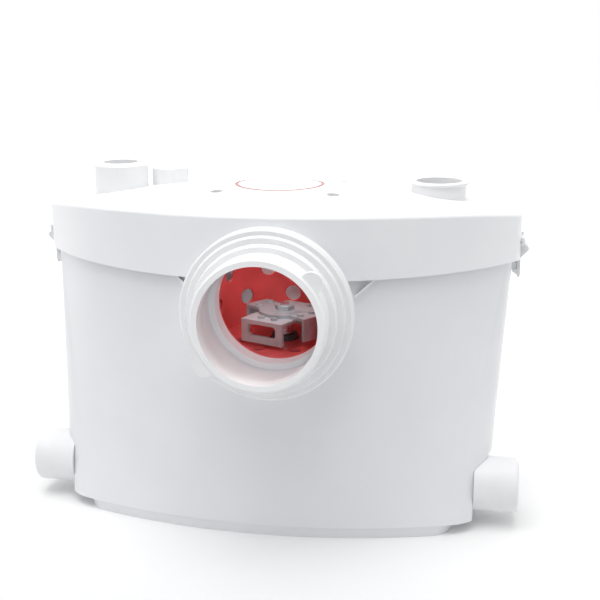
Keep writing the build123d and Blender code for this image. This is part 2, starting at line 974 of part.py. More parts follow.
def inlet_flap(side):
    """Flap that closes a side nozzle from inside, hung on a pin above it."""
    face_x = recess_inner - seat_gap
    pin_x = face_x - flap_barrel_radius
    pin_z = side_z + flap_pin_rise
    with BuildPart() as piece:
        rod_along_x(side * (face_x - flap_thickness), side_y, side_z, flap_radius, flap_thickness, side)
        block(
            side * (face_x - flap_thickness),
            side * face_x,
            side_y - flap_barrel_length / 2,
            side_y + flap_barrel_length / 2,
            side_z,
            pin_z,
        )
        rod_along_y(
            side * pin_x,
            side_y - flap_barrel_length / 2,
            pin_z,
            flap_barrel_radius,
            flap_barrel_length,
        )
        rod_along_y(
            side * pin_x,
            side_y - flap_barrel_length / 2,
            pin_z,
            flap_pin_radius + running_gap,
            flap_barrel_length,
            mode=Mode.SUBTRACT,
        )
    return piece


def flap_pin(side):
    """The pin that carries a side flap."""
    with BuildPart() as piece:
        rod_along_y(
            side * (recess_inner - seat_gap - flap_barrel_radius),
            side_y - flap_pin_length / 2,
            side_z + flap_pin_rise,
            flap_pin_radius,
            flap_pin_length,
        )
    return piece


for side, word in ((-1, "left"), (1, "right")):
    write(clip(side), f"clip_{word}")
    write(clip_pin(side), f"clip_pin_{word}")
    write(side_sleeve(side), f"side_inlet_{word}")
    write(inlet_flap(side), f"inlet_flap_{word}")
    write(flap_pin(side), f"flap_pin_{word}")

# Top inlet cup
with BuildPart() as top_inlet_cup:
    post(cup_x, spigot_y, spigot_bottom, cup_radius, cup_top - spigot_bottom)
    post(cup_x, spigot_y, cup_top - cup_rim_height, cup_rim_radius, cup_rim_height)
    fillet(
        top_inlet_cup.edges().filter_by(GeomType.CIRCLE).group_by(SortBy.RADIUS)[-1],
        cup_rim_round,
    )
    post(
        cup_x,
        spigot_y,
        spigot_boss_bottom - flange_height,
        cup_radius + fit_gap + spigot_boss_wall,
        flange_height,
    )
    post(cup_x, spigot_y, cup_top - cup_bore_length, pipe_bore, cup_bore_length, mode=Mode.SUBTRACT)
    post(cup_x, spigot_y, spigot_bottom, cup_stop_bore, cup_top - spigot_bottom, mode=Mode.SUBTRACT)
write(top_inlet_cup, "top_inlet_cup")

# Discharge connector
with BuildPart() as discharge_connector:
    post(discharge_x, spigot_y, spigot_bottom, connector_radius, connector_top - spigot_bottom)
    chamfer(discharge_connector.edges().group_by(Axis.Z)[-1], connector_chamfer)
    post(
        discharge_x,
        spigot_y,
        spigot_boss_bottom - flange_height,
        connector_radius + spigot_boss_wall,
        flange_height,
    )
    post(
        discharge_x,
        spigot_y,
        connector_top - connector_bore_length,
        connector_bore,
        connector_bore_length,
        mode=Mode.SUBTRACT,
    )
    post(
        discharge_x,
        spigot_y,
        spigot_bottom,
        connector_throat,
        connector_top - spigot_bottom,
        mode=Mode.SUBTRACT,
    )
write(discharge_connector, "discharge_connector")

# Check valve under the connector
valve_seat_top = valve_bottom + valve_seat_thickness
valve_pin_x = discharge_x + valve_pin_offset
valve_pin_z = valve_seat_top + seat_gap + valve_barrel_radius
with BuildPart() as check_valve_body:
    post(discharge_x, spigot_y, valve_bottom, valve_radius, spigot_bottom - valve_bottom)
    post(
        discharge_x,
        spigot_y,
        valve_bottom - valve_socket_length,
        valve_socket_radius,
        valve_socket_length,
    )
    post(
        discharge_x,
        spigot_y,
        valve_seat_top,
        valve_radius - valve_wall,
        spigot_bottom - valve_seat_top,
        mode=Mode.SUBTRACT,
    )
    post(
        discharge_x,
        spigot_y,
        valve_bottom - valve_socket_length,
        valve_seat_bore,
        spigot_bottom - valve_bottom,
        mode=Mode.SUBTRACT,
    )
    post(
        discharge_x,
        spigot_y,
        valve_bottom - valve_socket_length,
        pipe_outer + fit_gap,
        valve_socket_length,
        mode=Mode.SUBTRACT,
    )
    rod_along_y(
        valve_pin_x,
        spigot_y - valve_pin_length / 2,
        valve_pin_z,
        valve_pin_radius + running_gap,
        valve_pin_length,
        mode=Mode.SUBTRACT,
    )
write(check_valve_body, "check_valve_body")

with BuildPart() as check_valve_flap:
    post(discharge_x, spigot_y, valve_seat_top + seat_gap, valve_flap_radius, valve_flap_thickness)
    block(
        discharge_x,
        valve_pin_x,
        spigot_y - valve_barrel_length / 2,
        spigot_y + valve_barrel_length / 2,
        valve_seat_top + seat_gap,
        valve_seat_top + seat_gap + valve_flap_thickness,
    )
    rod_along_y(
        valve_pin_x,
        spigot_y - valve_barrel_length / 2,
        valve_pin_z,
        valve_barrel_radius,
        valve_barrel_length,
    )
    rod_along_y(
        valve_pin_x,
        spigot_y - valve_barrel_length / 2,
        valve_pin_z,
        valve_pin_radius + running_gap,
        valve_barrel_length,
        mode=Mode.SUBTRACT,
    )
write(check_valve_flap, "check_valve_flap")

with BuildPart() as check_valve_pin:
    rod_along_y(
        valve_pin_x,
        spigot_y - valve_pin_length / 2,
        valve_pin_z,
        valve_pin_radius,
        valve_pin_length,
    )
write(check_valve_pin, "check_valve_pin")

# Discharge pipe from the pump outlet up to the valve
with BuildPart() as discharge_pipe:
    with BuildLine() as pipe_route:
        FilletPolyline(
            (pipe_start_x, spigot_y, pipe_z),
            (discharge_x, spigot_y, pipe_z),
            (discharge_x, spigot_y, valve_bottom),
            radius=pipe_bend,
        )
    with BuildSketch(Plane((pipe_start_x, spigot_y, pipe_z), x_dir=(0, 1, 0), z_dir=(-1, 0, 0))):
        Circle(pipe_outer)
        Circle(pipe_inner, mode=Mode.SUBTRACT)
    sweep(path=pipe_route.line)
write(discharge_pipe, "discharge_pipe")

# Vent cap and its filter
with BuildPart() as vent_cap:
    post(vent_x, vent_y, spigot_boss_bottom, vent_radius, vent_top - spigot_boss_bottom)
    fillet(vent_cap.edges().group_by(Axis.Z)[-1], vent_round)
    post(vent_x, vent_y, spigot_boss_bottom - flange_height, vent_radius + spigot_boss_wall, flange_height)
    post(
        vent_x,
        vent_y,
        spigot_boss_bottom - flange_height,
        vent_radius - vent_wall,
        vent_top - spigot_boss_bottom + flange_height - vent_wall,
        mode=Mode.SUBTRACT,
    )
    # Slots round the half that faces the wall
    for slot in range(vent_slot_count):
        turn = math.pi * slot / (vent_slot_count - 1)
        with BuildSketch(
            Plane(
                (vent_x, vent_y, vent_top - vent_slot_drop),
                x_dir=(0, 0, 1),
                z_dir=(math.cos(turn), math.sin(turn), 0),
            )
        ):
            Rectangle(vent_slot_height, vent_slot_width)
        extrude(amount=vent_radius + overrun, mode=Mode.SUBTRACT)
write(vent_cap, "vent_cap")

with BuildPart() as carbon_filter:
    post(
        vent_x,
        vent_y,
        vent_top - vent_wall - filter_height - seat_gap,
        vent_radius - vent_wall - fit_gap,
        filter_height,
    )
write(carbon_filter, "carbon_filter")

# Perforated basket, with a bay that brings its front wall up to the throat
with BuildPart() as basket:
    extrude(basket_plan(basket_radius, basket_bottom), amount=basket_height)
    extrude(
        basket_plan(basket_flange_radius, basket_top - basket_flange_height),
        amount=basket_flange_height,
    )
    for x, y in screw_places:
        post(x, y, basket_top - basket_ear_height, pillar_radius, basket_ear_height)
    extrude(
        basket_plan(basket_radius - basket_wall, basket_bottom + basket_floor),
        amount=basket_height,
        mode=Mode.SUBTRACT,
    )
    post(axis_x, axis_y, basket_bottom, basket_hub_hole, basket_floor, mode=Mode.SUBTRACT)
    for x, y in screw_places:
        post(
            x,
            y,
            basket_top - basket_ear_height,
            screw_radius + screw_clearance,
            basket_ear_height,
            mode=Mode.SUBTRACT,
        )
    rod_along_y(inlet_x, lid_front, inlet_z, throat_radius, axis_y - lid_front, mode=Mode.SUBTRACT)
    for row in range(basket_row_count):
        row_z = basket_bottom + basket_row_rise + row * basket_row_pitch
        row_turn = basket_hole_turn + (row % 2) * 180 / basket_hole_count
        for hole in range(basket_hole_count):
            turn = math.radians(90 + row_turn + hole * 360 / basket_hole_count)
            with BuildSketch(
                Plane(
                    (axis_x, axis_y, row_z),
                    x_dir=(0, 0, 1),
                    z_dir=(math.cos(turn), math.sin(turn), 0),
                )
            ):
                Circle(basket_hole_radius)
            extrude(amount=basket_radius + overrun, mode=Mode.SUBTRACT)
    with BuildSketch(Plane((axis_x, axis_y, basket_bottom))):
        with PolarLocations(floor_hole_pitch_radius, floor_hole_count, start_angle=180 / floor_hole_count):
            Circle(floor_hole_radius)
    extrude(amount=basket_floor, mode=Mode.SUBTRACT)
write(basket, "basket")


def cutter_plane(angle, z):
    """A plane on the motor axis whose X runs along a cutter arm."""
    turn = math.radians(angle)
    return Plane((axis_x, axis_y, z), x_dir=(math.cos(turn), math.sin(turn), 0), z_dir=(0, 0, 1))


def cutter_arm(angle, bottom, reach, width, drop):
    """A bar across the shaft with both ends bent down."""
    with BuildSketch(cutter_plane(angle, bottom)) as arm:
        Rectangle(2 * reach, width)
        Circle(cutter_waist)
    extrude(arm.sketch, amount=cutter_thickness)
    with BuildSketch(cutter_plane(angle, bottom + cutter_thickness)) as lugs:
        for end in (-1, 1):
            with Locations((end * (reach - cutter_thickness / 2), 0)):
                Rectangle(cutter_thickness, width)
    extrude(lugs.sketch, amount=-drop - cutter_thickness)
    post(axis_x, axis_y, bottom, shaft_radius, cutter_thickness, mode=Mode.SUBTRACT)


# Cutter plate with a window in each bent lug
with BuildPart() as cutter_plate:
    cutter_arm(cutter_angle, cutter_bottom, cutter_reach, cutter_width, cutter_lug_drop)
    turn = math.radians(cutter_angle)
    with BuildSketch(
        Plane(
            (
                axis_x - (cutter_reach + overrun) * math.cos(turn),
                axis_y - (cutter_reach + overrun) * math.sin(turn),
                cutter_top - cutter_window_drop - cutter_thickness,
            ),
            x_dir=(-math.sin(turn), math.cos(turn), 0),
            z_dir=(math.cos(turn), math.sin(turn), 0),
        )
    ):
        RectangleRounded(cutter_window_length, cutter_window_height, cutter_window_round)
    extrude(amount=2 * (cutter_reach + overrun), mode=Mode.SUBTRACT)
write(cutter_plate, "cutter_plate")

with BuildPart() as cutter_bar:
    cutter_arm(bar_angle, cutter_top, bar_reach, bar_width, bar_lug_drop)
write(cutter_bar, "cutter_bar")

with BuildPart() as cutter_rivets:
    with BuildSketch(cutter_plane(bar_angle, bar_top)):
        for end in (-1, 1):
            for edge in (-1, 1):
                with Locations((end * rivet_pitch_radius, edge * rivet_offset)):
                    Circle(rivet_radius)
    extrude(amount=rivet_height)
    with BuildSketch(cutter_plane(cutter_angle, cutter_top)):
        for end in (-1, 1):
            for edge in (-1, 1):
                with Locations((end * rivet_pitch_radius, edge * rivet_offset)):
                    Circle(rivet_radius)
    extrude(amount=rivet_height)
write(cutter_rivets, "cutter_rivets")

with BuildPart() as cutter_nut:
    with BuildSketch(Plane((axis_x, axis_y, bar_top))):
        RegularPolygon(nut_radius, 6)
        Circle(shaft_radius, mode=Mode.SUBTRACT)
    extrude(amount=nut_height)
    chamfer(cutter_nut.faces().sort_by(Axis.Z)[-1].outer_wire().edges(), nut_chamfer)
write(cutter_nut, "cutter_nut")

# Shaft, from the impeller up to the cutter
with BuildPart() as shaft:
    post(axis_x, axis_y, shaft_bottom, shaft_radius, shaft_top - shaft_bottom)
    post(
        axis_x,
        axis_y,
        shaft_shoulder_bottom,
        shaft_shoulder_radius,
        cutter_bottom - shaft_shoulder_bottom,
    )
write(shaft, "shaft")

# Motor housing: a cup with a bearing ring on its floor and a rim for the cover
with BuildPart() as motor_housing:
    ring(axis_x, axis_y, motor_bottom, motor_radius, motor_radius - motor_wall, motor_top - motor_bottom)
    ring(axis_x, axis_y, motor_bottom, motor_radius, seal_radius, motor_floor)
    ring(
        axis_x,
        axis_y,
        motor_bottom + motor_floor,
        bearing_radius + bearing_ring_wall,
        bearing_radius,
        bearing_height,
    )
    ring(
        axis_x,
        axis_y,
        motor_top - motor_rim_height,
        motor_radius,
        motor_radius - motor_rim_width,
        motor_rim_height,
    )
    with BuildSketch(Plane((axis_x, axis_y, motor_top))):
        with PolarLocations(cover_screw_pitch_radius, cover_screw_count):
            Circle(cover_screw_radius + running_gap)
    extrude(amount=-motor_rim_height, mode=Mode.SUBTRACT)
write(motor_housing, "motor_housing")

with BuildPart() as motor_cover:
    ring(axis_x, axis_y, motor_top, cover_radius, seal_radius, cover_plate)
    ring(axis_x, axis_y, basket_bottom, cover_boss_radius, seal_radius, cover_boss_height)
    ring(
        axis_x,
        axis_y,
        motor_top - bearing_height,
        bearing_radius + bearing_ring_wall,
        bearing_radius,
        bearing_height,
    )
    with BuildSketch(Plane((axis_x, axis_y, basket_bottom))):
        with PolarLocations(cover_screw_pitch_radius, cover_screw_count):
            Circle(cover_screw_head + running_gap)
    extrude(amount=-cover_screw_head_height, mode=Mode.SUBTRACT)
    with BuildSketch(Plane((axis_x, axis_y, basket_bottom))):
        with PolarLocations(cover_screw_pitch_radius, cover_screw_count):
            Circle(cover_screw_radius + running_gap)
    extrude(amount=-cover_plate, mode=Mode.SUBTRACT)
write(motor_cover, "motor_cover")

with BuildPart() as cover_screws:
    with BuildSketch(Plane((axis_x, axis_y, basket_bottom))):
        with PolarLocations(cover_screw_pitch_radius, cover_screw_count):
            Circle(cover_screw_head)
    extrude(amount=-cover_screw_head_height)
    with BuildSketch(Plane((axis_x, axis_y, basket_bottom - cover_screw_head_height))):
        with PolarLocations(cover_screw_pitch_radius, cover_screw_count):
            Circle(cover_screw_radius)
    extrude(amount=-cover_screw_length)
write(cover_screws, "cover_screws")

# Bearings and shaft seals: the shaft runs in their bores
for name, z, outer, height in (
    ("lower_bearing", motor_bottom + motor_floor, bearing_radius, bearing_height),
    ("upper_bearing", motor_top - bearing_height, bearing_radius, bearing_height),
    ("lower_shaft_seal", motor_bottom, seal_radius, motor_floor),
    ("upper_shaft_seal", motor_top, seal_radius, cover_plate + cover_boss_height),
):
    with BuildPart() as turned_ring:
        ring(axis_x, axis_y, z, outer, shaft_radius + running_gap, height)
    write(turned_ring, name)

with BuildPart() as stator:
    ring(axis_x, axis_y, stator_bottom, stator_radius, stator_bore, stator_height)
write(stator, "stator")

# End turns of the winding, above and below the stator
with BuildPart() as windings:
    for z in (stator_bottom - winding_height, stator_top):
        ring(axis_x, axis_y, z, winding_outer, winding_inner, winding_height)
    fillet(windings.edges().filter_by(GeomType.CIRCLE), winding_round)
write(windings, "windings")

with BuildPart() as rotor:
    ring(axis_x, axis_y, stator_bottom, stator_bore - rotor_gap, shaft_radius, stator_height)
write(rotor, "rotor")

# Pump casing with its outlet to the left
with BuildPart() as pump_casing:
    post(axis_x, axis_y, pump_bottom, pump_radius, motor_bottom - pump_bottom)
    rod_along_x(axis_x, spigot_y, pipe_z, pump_outlet_radius, axis_x - pump_outlet_end, -1)
    block(
        axis_x - pump_radius,
        axis_x,
        spigot_y - pump_outlet_radius,
        spigot_y + pump_outlet_radius,
        pump_bottom - plate_thickness,
        pump_bottom,
        mode=Mode.SUBTRACT,
    )
    post(
        axis_x,
        axis_y,
        pump_bottom,
        pump_chamber_radius,
        pump_chamber_top - pump_bottom,
        mode=Mode.SUBTRACT,
    )
    rod_along_x(axis_x, spigot_y, pipe_z, pipe_inner, axis_x - pump_outlet_end, -1, mode=Mode.SUBTRACT)
    rod_along_x(
        pipe_start_x,
        spigot_y,
        pipe_z,
        pipe_outer + fit_gap,
        pipe_start_x - pump_outlet_end,
        -1,
        mode=Mode.SUBTRACT,
    )
    post(
        axis_x,
        axis_y,
        pump_chamber_top,
        shaft_shoulder_radius,
        motor_bottom - pump_chamber_top,
        mode=Mode.SUBTRACT,
    )
    with BuildSketch(Plane((axis_x, axis_y, pump_bottom))):
        with PolarLocations(pump_screw_pitch_radius, pump_screw_count):
            Circle(cover_screw_radius + running_gap)
    extrude(amount=pump_screw_length, mode=Mode.SUBTRACT)
write(pump_casing, "pump_casing")

with BuildPart() as suction_plate:
    ring(axis_x, axis_y, pump_bottom - plate_thickness, pump_radius, suction_radius, plate_thickness)
    with BuildSketch(Plane((axis_x, axis_y, pump_bottom))):
        with PolarLocations(pump_screw_pitch_radius, pump_screw_count):
            Circle(cover_screw_radius + running_gap)
    extrude(amount=-plate_thickness, mode=Mode.SUBTRACT)
write(suction_plate, "suction_plate")

with BuildPart() as pump_screws:
    with BuildSketch(Plane((axis_x, axis_y, pump_bottom - plate_thickness))):
        with PolarLocations(pump_screw_pitch_radius, pump_screw_count):
            Circle(cover_screw_head)
    extrude(amount=-pump_screw_head_height)
    with BuildSketch(Plane((axis_x, axis_y, pump_bottom - plate_thickness))):
        with PolarLocations(pump_screw_pitch_radius, pump_screw_count):
            Circle(cover_screw_radius)
    extrude(amount=pump_screw_length)
write(pump_screws, "pump_screws")

with BuildPart() as impeller:
    ring(axis_x, axis_y, impeller_top - impeller_disc, impeller_radius, shaft_radius, impeller_disc)
    ring(axis_x, axis_y, impeller_bottom, impeller_hub, shaft_radius, impeller_top - impeller_bottom)
    with BuildSketch(Plane((axis_x, axis_y, impeller_bottom))):
        with PolarLocations((impeller_hub + impeller_radius) / 2, impeller_vane_count):
            Rectangle(impeller_radius - impeller_hub + impeller_vane_width, impeller_vane_width)
    extrude(amount=impeller_top - impeller_bottom)
write(impeller, "impeller")

# Rubber mounts between the pump and the tank floor
with BuildPart() as vibration_mounts:
    with BuildSketch(Plane((axis_x, axis_y, tank_floor))):
        with GridLocations(mount_pitch, mount_pitch, 2, 2):
            Circle(mount_radius)
    extrude(amount=pump_bottom - plate_thickness - tank_floor)
write(vibration_mounts, "vibration_mounts")

# Control box under the lid
box_x = (box_left + box_right) / 2
box_y = (box_front + box_back) / 2
box_width = box_right - box_left
box_length = box_back - box_front
with BuildPart() as control_box:
    with BuildSketch(Plane((box_x, box_y, box_bottom))):
        RectangleRounded(box_width, box_length, box_corner)
    extrude(amount=box_top - box_bottom)
    with BuildSketch(Plane((box_x, box_y, box_bottom + box_wall))):
        RectangleRounded(box_width - 2 * box_wall, box_length - 2 * box_wall, box_corner - box_wall)
    extrude(amount=box_top - box_bottom, mode=Mode.SUBTRACT)
    post(bell_x, bell_y, box_bottom, plunger_hole_radius, box_wall, mode=Mode.SUBTRACT)
    ring(
        bell_x,
        bell_y,
        box_bottom - diaphragm_ring_height,
        bell_flange_radius,
        diaphragm_radius + fit_gap,
        diaphragm_ring_height,
    )
write(control_box, "control_box")

with BuildPart() as control_box_cover:
    with BuildSketch(Plane((box_x, box_y, box_top))):
        RectangleRounded(box_width, box_length, box_corner)
    extrude(amount=box_cover)
write(control_box_cover, "control_box_cover")

# Pressure bell: trapped air pushes the diaphragm up as the tank fills
bell_top = box_bottom - diaphragm_ring_height
with BuildPart() as pressure_bell:
    ring(bell_x, bell_y, bell_bottom, bell_radius, bell_radius - bell_wall, bell_top - bell_bottom)
    ring(
        bell_x,
        bell_y,
        bell_top - bell_flange_height,
        bell_flange_radius,
        bell_radius - bell_wall,
        bell_flange_height,
    )
write(pressure_bell, "pressure_bell")

with BuildPart() as diaphragm:
    post(bell_x, bell_y, bell_top, diaphragm_radius, diaphragm_thickness)
write(diaphragm, "diaphragm")

plunger_bottom = bell_top + diaphragm_thickness + seat_gap
plunger_top = plunger_bottom + plunger_disc_height + plunger_stem_height
with BuildPart() as switch_plunger:
    post(bell_x, bell_y, plunger_bottom, plunger_disc_radius, plunger_disc_height)
    post(bell_x, bell_y, plunger_bottom, plunger_stem_radius, plunger_top - plunger_bottom)
write(switch_plunger, "switch_plunger")

# Pressure switch on two legs over the plunger
switch_bottom = plunger_top + plunger_stroke + seat_gap
with BuildPart() as pressure_switch:
    block(
        bell_x - switch_length / 2,
        bell_x + switch_length / 2,
        bell_y - switch_width / 2,
        bell_y + switch_width / 2,
        switch_bottom,
        switch_bottom + switch_height,
    )
    for end in (-1, 1):
        block(
            bell_x + end * switch_length / 2,
            bell_x + end * (switch_length / 2 - switch_leg),
            bell_y - switch_width / 2,
            bell_y + switch_width / 2,
            box_bottom + box_wall,
            switch_bottom,
        )
write(pressure_switch, "pressure_switch")

with BuildPart() as capacitor:
    rod_along_y(
        box_x,
        capacitor_front,
        box_bottom + box_wall + capacitor_radius + running_gap,
        capacitor_radius,
        capacitor_length,
    )
write(capacitor, "capacitor")

with BuildPart() as terminal_block:
    terminal_top = box_bottom + box_wall + terminal_height
    block(
        box_x - terminal_width / 2,
        box_x + terminal_width / 2,
        terminal_front,
        terminal_front + terminal_length,
        box_bottom + box_wall,
        terminal_top,
    )
    with BuildSketch(Plane((box_x, terminal_front + terminal_length / 2, terminal_top))):
        with GridLocations(terminal_width / terminal_way_count, terminal_length / 2, terminal_way_count, 2):
            Circle(terminal_way_radius)
    extrude(amount=-terminal_way_depth, mode=Mode.SUBTRACT)
write(terminal_block, "terminal_block")

# Cable gland through the lid's back
with BuildPart() as cable_gland:
    gland_inner = lid_back - rim_inset - rib_wall - seal_gap
    rod_along_y(
        gland_x,
        gland_inner - gland_nut_length,
        gland_z,
        gland_radius,
        lid_back - gland_inner + 2 * gland_nut_length + gland_tail,
    )
    for y in (gland_inner - gland_nut_length - seat_gap, lid_back + seat_gap):
        with BuildSketch(Plane((gland_x, y, gland_z), x_dir=(1, 0, 0), z_dir=(0, 1, 0))):
            RegularPolygon(gland_nut_radius, 6)
        extrude(amount=gland_nut_length)
    rod_along_y(gland_x, 0, gland_z, gland_bore, lid_depth, mode=Mode.SUBTRACT)
write(cable_gland, "cable_gland")
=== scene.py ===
# %% [markdown]
# A macerator toilet pump is a white plastic box that stands behind a toilet. A rubber boot on its
# front takes the toilet's outlet, a red basket behind the boot holds the solids over a steel cutter,
# and a motor and a pump inside send the rest up through the connector on the lid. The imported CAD
# model is the frame: every piece keeps its place, and this lesson gives each one its finish.

import math

import bmesh
import bpy
from mathutils import Matrix, Vector


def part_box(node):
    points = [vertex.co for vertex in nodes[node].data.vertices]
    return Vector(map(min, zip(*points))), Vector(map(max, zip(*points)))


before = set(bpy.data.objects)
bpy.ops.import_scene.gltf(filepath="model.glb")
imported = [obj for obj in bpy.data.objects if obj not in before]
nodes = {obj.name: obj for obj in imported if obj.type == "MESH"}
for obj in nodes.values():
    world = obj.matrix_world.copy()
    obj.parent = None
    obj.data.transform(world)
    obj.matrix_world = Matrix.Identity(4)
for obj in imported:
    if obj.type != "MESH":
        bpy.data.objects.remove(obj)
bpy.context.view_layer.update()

# %% [markdown]
# The camera is a real one seen from the object: how far to the side it stands, how high, and how
# much it looks down. Its three axes are worked out from two turns and a slight roll, because a
# camera described that way can be checked against the photograph one number at a time.

# %% Camera
PHOTO_WIDTH = 600
FOCAL_PIXELS = 1020.0
SENSOR_WIDTH = 36.0
CAMERA_PLACE = Vector((0.182, -0.883, 0.428))
CAMERA_YAW = 0.178
CAMERA_PITCH = 0.2575
CAMERA_ROLL = -0.005


def camera_turn(yaw, pitch, roll):
    """The camera's axes: yaw to the left of +Y, pitch down, roll about the line of sight."""
    level_part = math.cos(pitch)
    ahead = Vector((-math.sin(yaw) * level_part, math.cos(yaw) * level_part, -math.sin(pitch)))
    level = Vector((math.cos(yaw), math.sin(yaw), 0.0))
    upright = level.cross(ahead)
    right = math.cos(roll) * level + math.sin(roll) * upright
    up = math.cos(roll) * upright - math.sin(roll) * level
    return Matrix((right, up, -ahead)).transposed().to_4x4()


def place_camera():
    """Creates the camera, hands it to the scene and returns its lens."""
    data = bpy.data.cameras.new("photo_camera")
    data.sensor_width = SENSOR_WIDTH
    data.lens = FOCAL_PIXELS / PHOTO_WIDTH * SENSOR_WIDTH
    camera = bpy.data.objects.new("photo_camera", data)
    turn = camera_turn(CAMERA_YAW, CAMERA_PITCH, CAMERA_ROLL)
    camera.matrix_world = Matrix.Translation(CAMERA_PLACE) @ turn
    bpy.context.scene.collection.objects.link(camera)
    bpy.context.scene.camera = camera
    return data.lens


print("lens, mm:", round(place_camera(), 1))

# %% [markdown]
# A product photograph on white is lit by a bright room: a white surround does most of the work, so
# the walls show their own shade and the only dark is where the room can't reach. One large soft box
# overhead, a little in front of the object, blows the lid's top out. The room alone would leave the
# basket black, so a lamp with a snoot looks into the boot and three bulbs the size of a pea glow
# inside, one over the cutter and two behind the basket, where its holes let the light through.
#
# Three sheets do the rest. A dark card behind the camera takes light off the faces turned to it, so
# the middle of the tank reads darker than its ends: on white, a shape shows only by what darkens it.
# The card is hidden from the camera, so a view from behind doesn't meet it. The floor holds the
# shadow, and a glowing backdrop far behind it keeps the horizon white. The view transform is the
# plain one, because a film-like curve greys the whites.

# %% Light and sheets
ROOM_WHITE = (1.0, 1.0, 1.0, 1.0)
ROOM_STRENGTH = 0.86
KEY_SIZE = 1.4
KEY_POWER = 19.0
KEY_PLACE = (-0.1, -0.35, 1.7)
KEY_AIM = (0.0, 0.0, 0.1)
SNOOT_POWER = 14.0
SNOOT_ANGLE = 6.4
SNOOT_SOFTNESS = 0.6
SNOOT_SIZE = 0.05
SNOOT_PLACE = (0.19, -0.92, 0.44)
SNOOT_AIM = (0.017, -0.155, 0.21)
BULB_PLACES = ((0.0, -0.02, 0.247), (-0.03, 0.084, 0.262), (0.06, 0.084, 0.262))
BULB_AIM = (0.0, 0.0, 0.0)
BULB_POWER = 0.07
BULB_SIZE = 0.006
FLOOR_REACH = 60.0
FLOOR_PLACE = (0.0, 0.0, 0.0)
CARD_PLACE = (0.4, -1.6, 0.55)
CARD_WIDTH = 1.8
CARD_HEIGHT = 1.1
BACKDROP_PLACE = (0.0, 5.0, 0.0)
BACKDROP_WIDTH = 16.0
BACKDROP_HEIGHT = 8.0
HALF_METRE = 0.5


def hang(name, kind, place, aim, power):
    """A lamp of a kind that faces a point."""
    data = bpy.data.lights.new(name, kind)
    data.energy = power
    lamp = bpy.data.objects.new(name, data)
    lamp.location = place
    lamp.rotation_euler = (Vector(aim) - Vector(place)).to_track_quat("-Z", "Y").to_euler()
    bpy.context.scene.collection.objects.link(lamp)
    return data


def sheet(name, width, depth, place, upright=False):
    """A rectangle that lies on the floor, or stands up facing the object."""
    grid = bmesh.new()
    bmesh.ops.create_grid(grid, x_segments=1, y_segments=1, size=HALF_METRE)
    mesh = bpy.data.meshes.new(name)
    grid.to_mesh(mesh)
    grid.free()
    piece = bpy.data.objects.new(name, mesh)
    piece.scale = (width, depth, 1.0)
    piece.location = place
    if upright:
        piece.rotation_euler = (math.pi / 2, 0.0, 0.0)
    bpy.context.scene.collection.objects.link(piece)
    return piece


world = bpy.data.worlds.new("white_room")
world.use_nodes = True
room = world.node_tree.nodes["Background"]
room.inputs["Color"].default_value = ROOM_WHITE
room.inputs["Strength"].default_value = ROOM_STRENGTH
bpy.context.scene.world = world
bpy.context.scene.view_settings.view_transform = "Standard"
key = hang("overhead_box", "AREA", KEY_PLACE, KEY_AIM, KEY_POWER)
key.size = KEY_SIZE
snoot = hang("snoot_lamp", "SPOT", SNOOT_PLACE, SNOOT_AIM, SNOOT_POWER)
snoot.spot_size = math.radians(SNOOT_ANGLE)
snoot.spot_blend = SNOOT_SOFTNESS
snoot.shadow_soft_size = SNOOT_SIZE
for bulb_place in BULB_PLACES:
    bulb = hang("inner_bulb", "POINT", bulb_place, BULB_AIM, BULB_POWER)
    bulb.shadow_soft_size = BULB_SIZE
floor = sheet("floor", FLOOR_REACH, FLOOR_REACH, FLOOR_PLACE)
card = sheet("dark_card", CARD_WIDTH, CARD_HEIGHT, CARD_PLACE, upright=True)
card.visible_camera = False
backdrop = sheet("white_backdrop", BACKDROP_WIDTH, BACKDROP_HEIGHT, BACKDROP_PLACE, upright=True)
print("lights:", len(bpy.data.lights), "sheets:", floor.name, card.name, backdrop.name)

# %% [markdown]
# A finish is arithmetic on values that change over the surface, such as "a little rougher where the
# grain is high". Written as nodes it takes a dozen lines, so one small class wraps a socket and lets
# ordinary operators add the Math nodes. Its make method adds any other node. Some nodes have several
# sockets of one name, so sockets are given by number there: the Mix node has its two colours at 6
# and 7, and its mixed colour is output 2.

# %% Arithmetic on surfaces
MIX_FIRST = 6
MIX_SECOND = 7
MIX_COLOR = 2
FULL_BUMP = 1.0


